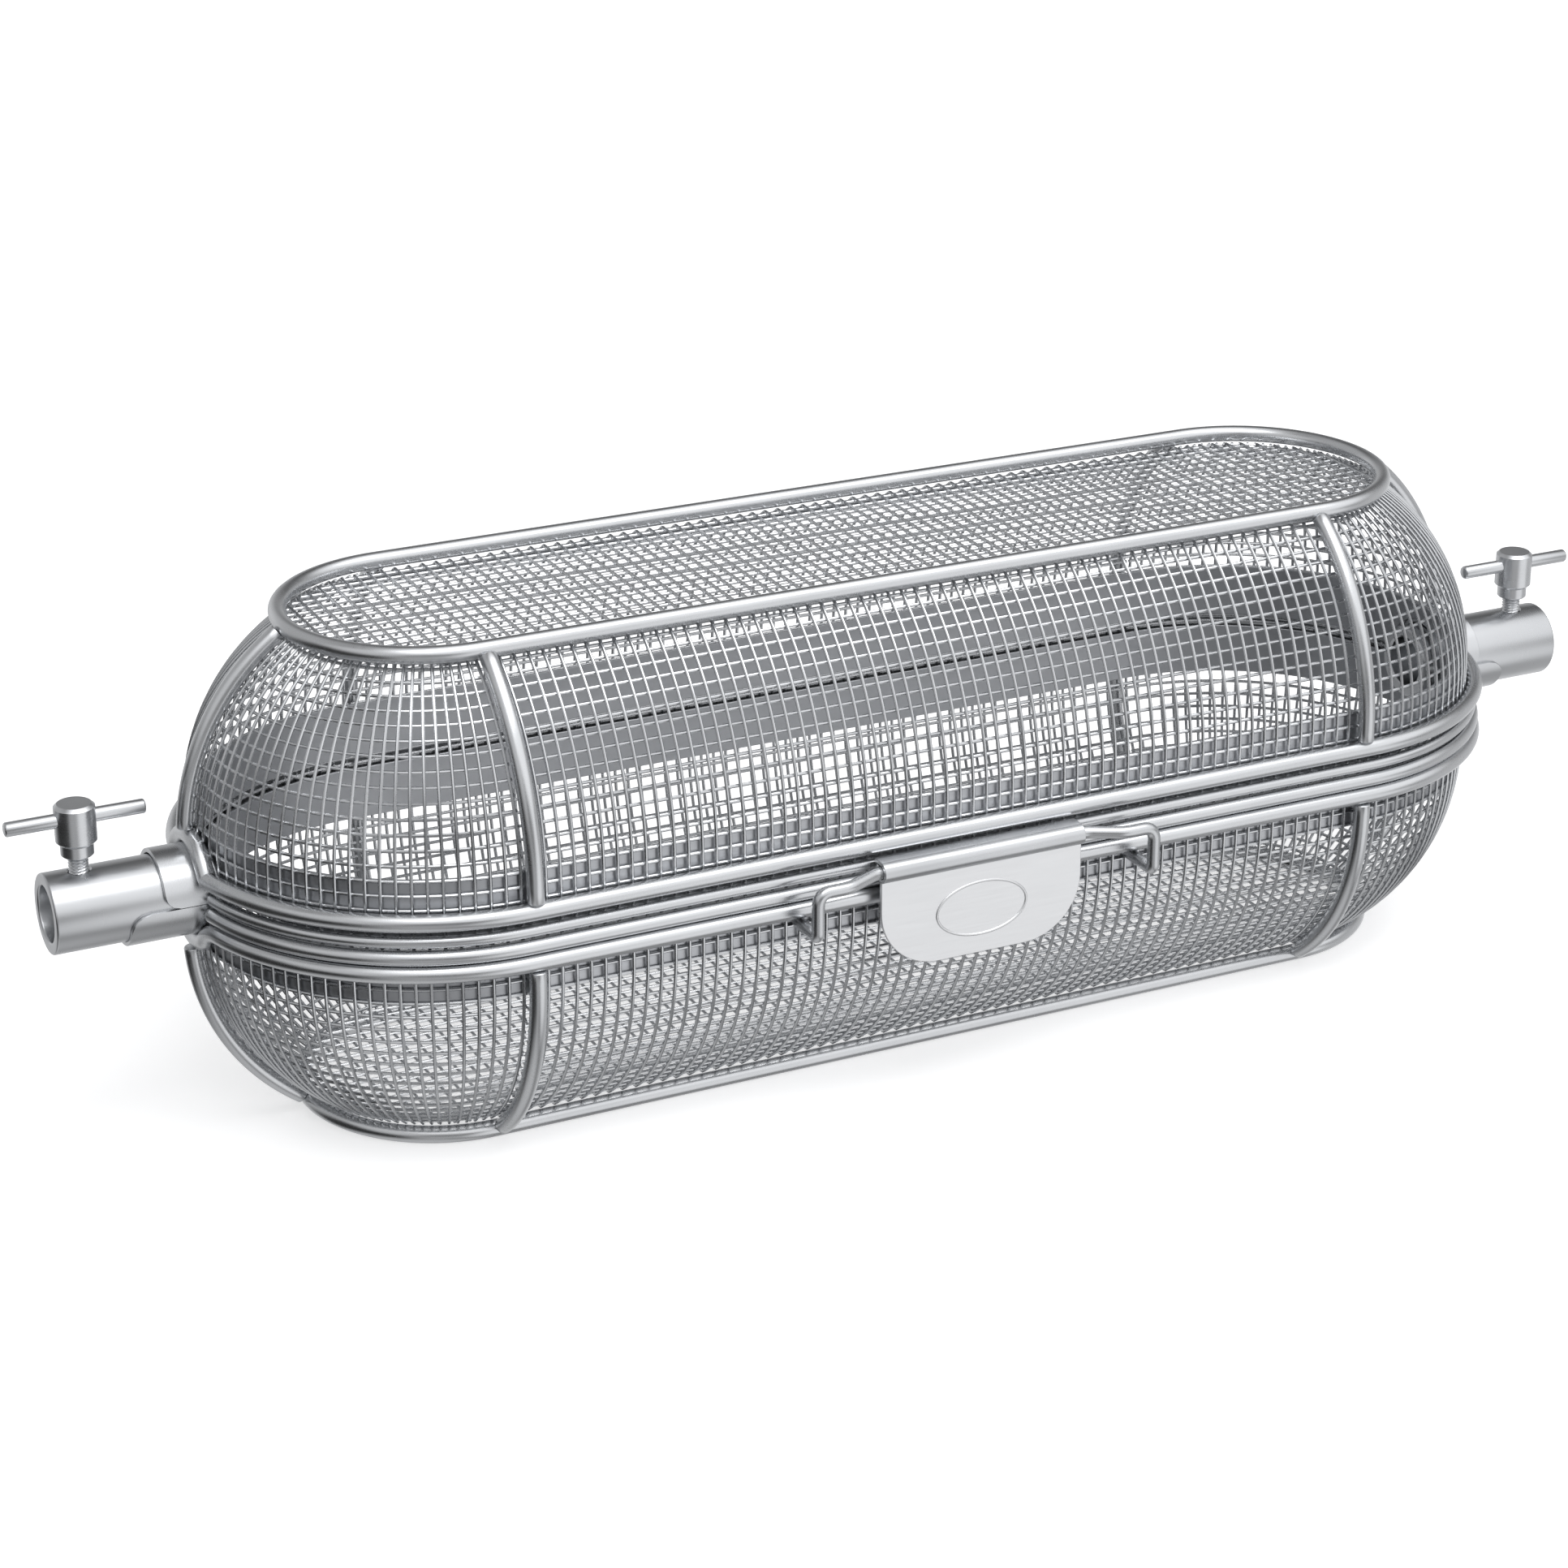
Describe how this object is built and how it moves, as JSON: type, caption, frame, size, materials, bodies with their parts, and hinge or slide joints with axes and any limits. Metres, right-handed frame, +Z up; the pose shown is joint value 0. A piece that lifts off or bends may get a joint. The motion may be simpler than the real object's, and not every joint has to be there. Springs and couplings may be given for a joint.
{
  "type": "rotisserie grill basket",
  "caption": "Two-part wire mesh roasting basket on a spit tube axis, with a rear-hinged lid, a front latch tab and a T-bar clamp screw in each end tube.",
  "frame": {"origin": "middle of the spit axis, halfway between the outer ends of the two spit tubes", "axes": "+X along the spit axis, +Y towards the hinge side, +Z up towards the lid"},
  "size_m": [0.4492, 0.1454, 0.1304],
  "materials": {
    "mesh_wire": "bright drawn wire",
    "band_sheet": "smooth cold-rolled sheet",
    "rod_steel": "satin electropolished rod",
    "tube_steel": "satin brushed tube and sheet",
    "tab_sheet": "fine bead-blasted sheet",
    "bail_wire": "satin bent wire",
    "hinge_steel": "satin pressed sheet",
    "screw_steel": "turned bright steel"
  },
  "bodies": {
    "base": {"base_mesh_front": "mesh_wire", "base_mesh_rear": "mesh_wire", "base_mesh_end_left": "mesh_wire", "base_mesh_end_right": "mesh_wire", "base_mesh_floor": "mesh_wire", "base_band": "band_sheet", "base_wire": "rod_steel", "base_rim": "rod_steel", "base_ring": "rod_steel", "base_rib_front_left": "rod_steel", "base_rib_front_right": "rod_steel", "base_rib_rear_left": "rod_steel", "base_rib_rear_right": "rod_steel", "base_rib_end_left": "rod_steel", "base_rib_end_right": "rod_steel", "base_collar_left": "tube_steel", "base_collar_right": "tube_steel", "spit_tube_left": "tube_steel", "spit_tube_right": "tube_steel", "latch_bail": "bail_wire", "hinge_base_leaf_left": "hinge_steel", "hinge_base_leaf_right": "hinge_steel", "hinge_pin_left": "hinge_steel", "hinge_pin_right": "hinge_steel"},
    "lid": {"lid_mesh_front": "mesh_wire", "lid_mesh_rear": "mesh_wire", "lid_mesh_end_left": "mesh_wire", "lid_mesh_end_right": "mesh_wire", "lid_mesh_top": "mesh_wire", "lid_band": "band_sheet", "lid_wire": "rod_steel", "lid_rim": "rod_steel", "lid_ring": "rod_steel", "lid_rib_front_left": "rod_steel", "lid_rib_front_right": "rod_steel", "lid_rib_rear_left": "rod_steel", "lid_rib_rear_right": "rod_steel", "lid_rib_end_left": "rod_steel", "lid_rib_end_right": "rod_steel", "lid_collar_left": "tube_steel", "lid_collar_right": "tube_steel", "hinge_lid_leaf_left": "hinge_steel", "hinge_lid_leaf_right": "hinge_steel"},
    "latch": {"latch_tab": "tab_sheet"},
    "shank_left": {"screw_shank_left": "screw_steel"},
    "head_left": {"screw_head_left": "screw_steel", "screw_bar_left": "screw_steel"},
    "shank_right": {"screw_shank_right": "screw_steel"},
    "head_right": {"screw_head_right": "screw_steel", "screw_bar_right": "screw_steel"}
  },
  "joints": [
    {"name": "lid_hinge", "type": "hinge", "parent": "base", "child": "lid", "pos_m": [0, 0.06825, -0.0003], "axis": [-1, 0, 0], "range_deg": [0, 175]},
    {"name": "latch_pivot", "type": "hinge", "parent": "base", "child": "latch", "pos_m": [0, -0.069, 0.0015], "axis": [-1, 0, 0], "range_deg": [0, 150]},
    {"name": "screw_feed_left", "type": "slide", "parent": "base", "child": "shank_left", "axis": [0, 0, -1], "range_m": [-0.00161, 0.00361]},
    {"name": "screw_turn_left", "type": "hinge", "parent": "shank_left", "child": "head_left", "pos_m": [-0.2075, 0, 0.0234], "axis": [0, 0, -1], "range_deg": [-720, 1620]},
    {"name": "screw_feed_right", "type": "slide", "parent": "base", "child": "shank_right", "axis": [0, 0, -1], "range_m": [-0.00161, 0.00361]},
    {"name": "screw_turn_right", "type": "hinge", "parent": "shank_right", "child": "head_right", "pos_m": [0.2075, 0, 0.0234], "axis": [0, 0, -1], "range_deg": [-720, 1620]}
  ],
  "couplings": [
    {"joint": "screw_feed_left", "follows": "screw_turn_left", "m_per_rad": 0.00012732},
    {"joint": "screw_feed_right", "follows": "screw_turn_right", "m_per_rad": 0.00012732}
  ]
}
